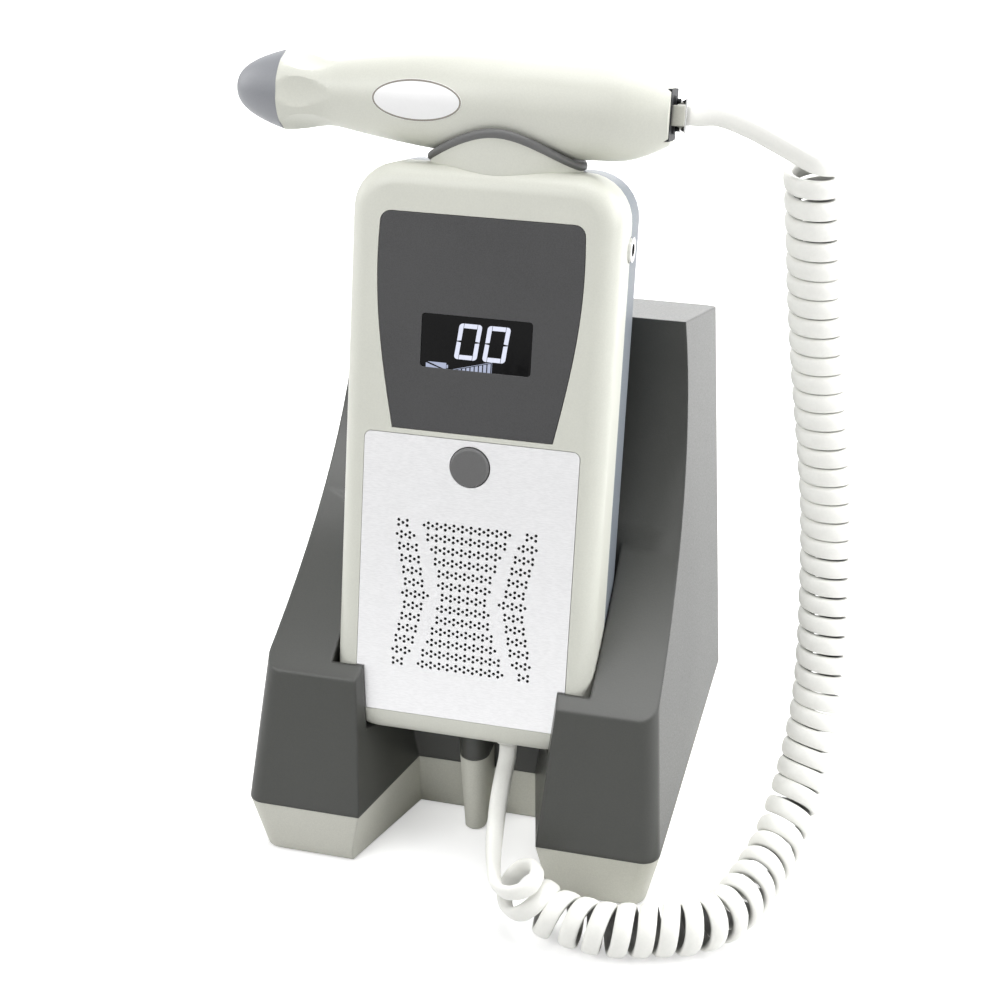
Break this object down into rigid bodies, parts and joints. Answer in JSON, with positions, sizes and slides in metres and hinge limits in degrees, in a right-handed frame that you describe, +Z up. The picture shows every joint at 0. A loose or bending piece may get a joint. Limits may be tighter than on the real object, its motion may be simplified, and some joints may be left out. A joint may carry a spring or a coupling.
{
  "type": "vascular doppler",
  "caption": "Handheld vascular doppler leaning in a desk charging stand, with its pencil probe in a saddle on top and a curly cord between them.",
  "frame": {"origin": "on the desk, under the middle of the stand's base", "axes": "+Z up, -Y towards the user and the display, +X along the probe from its nose to its cord"},
  "size_m": [0.1831, 0.1664, 0.225],
  "materials": {
    "stand_housing": "fine satin",
    "stand_base": "satin",
    "stand_sole": "matte",
    "stand_screws": "plain",
    "charging_board": "solder mask",
    "contact_pins": "plated",
    "power_inlet": "matte",
    "front_shell": "satin",
    "rear_shell": "satin",
    "battery_cover": "satin",
    "battery_cover_screw": "plain",
    "case_screws": "plain",
    "display_bezel": "fine sparkle",
    "display_lens": "gloss",
    "lcd_module": "matte",
    "speaker_plate": "satin silver",
    "speaker_cloth": "matte",
    "speaker_gasket": "matte",
    "speaker": "matte",
    "main_board": "solder mask",
    "button_switch": "matte",
    "battery_pack": "shrink film",
    "headphone_jack": "polished",
    "charging_contacts": "plated",
    "cord_strain_relief": "satin",
    "saddle": "satin",
    "saddle_liner": "matte",
    "power_button": "satin",
    "probe_body": "satin",
    "probe_nose": "satin",
    "transducer_discs": "silvered",
    "probe_board": "solder mask",
    "probe_label": "satin film",
    "socket_plate": "satin",
    "socket_screws": "polished",
    "plug": "satin",
    "plug_flange": "polished",
    "cord_upper_lead": "satin",
    "cord_coil": "satin",
    "cord_lower_lead": "satin"
  },
  "bodies": {
    "stand": {"stand_housing": "stand_housing", "stand_base": "stand_base", "stand_sole": "stand_sole", "stand_screws": "stand_screws", "charging_board": "charging_board", "contact_pins": "contact_pins", "power_inlet": "power_inlet", "cord_upper_lead": "cord_upper_lead", "cord_coil": "cord_coil", "cord_lower_lead": "cord_lower_lead"},
    "handset": {"front_shell": "front_shell", "rear_shell": "rear_shell", "battery_cover": "battery_cover", "battery_cover_screw": "battery_cover_screw", "case_screws": "case_screws", "display_bezel": "display_bezel", "display_lens": "display_lens", "lcd_module": "lcd_module", "speaker_plate": "speaker_plate", "speaker_cloth": "speaker_cloth", "speaker_gasket": "speaker_gasket", "speaker": "speaker", "main_board": "main_board", "button_switch": "button_switch", "battery_pack": "battery_pack", "headphone_jack": "headphone_jack", "charging_contacts": "charging_contacts", "cord_strain_relief": "cord_strain_relief", "saddle": "saddle", "saddle_liner": "saddle_liner"},
    "button": {"power_button": "power_button"},
    "probe": {"probe_body": "probe_body", "probe_nose": "probe_nose", "transducer_discs": "transducer_discs", "probe_board": "probe_board", "probe_label": "probe_label", "socket_plate": "socket_plate", "socket_screws": "socket_screws", "plug": "plug", "plug_flange": "plug_flange"}
  },
  "joints": [
    {"name": "handset_lift", "type": "slide", "parent": "stand", "child": "handset", "axis": [0, 0.2588, 0.9659], "range_m": [0, 0.07]},
    {"name": "probe_lift", "type": "slide", "parent": "handset", "child": "probe", "axis": [0, 0.2588, 0.9659], "range_m": [0, 0.05]},
    {"name": "button_press", "type": "slide", "parent": "handset", "child": "button", "axis": [0, 0.9659, -0.2588], "range_m": [0, 0.001], "stiffness_N_per_m": 400}
  ]
}
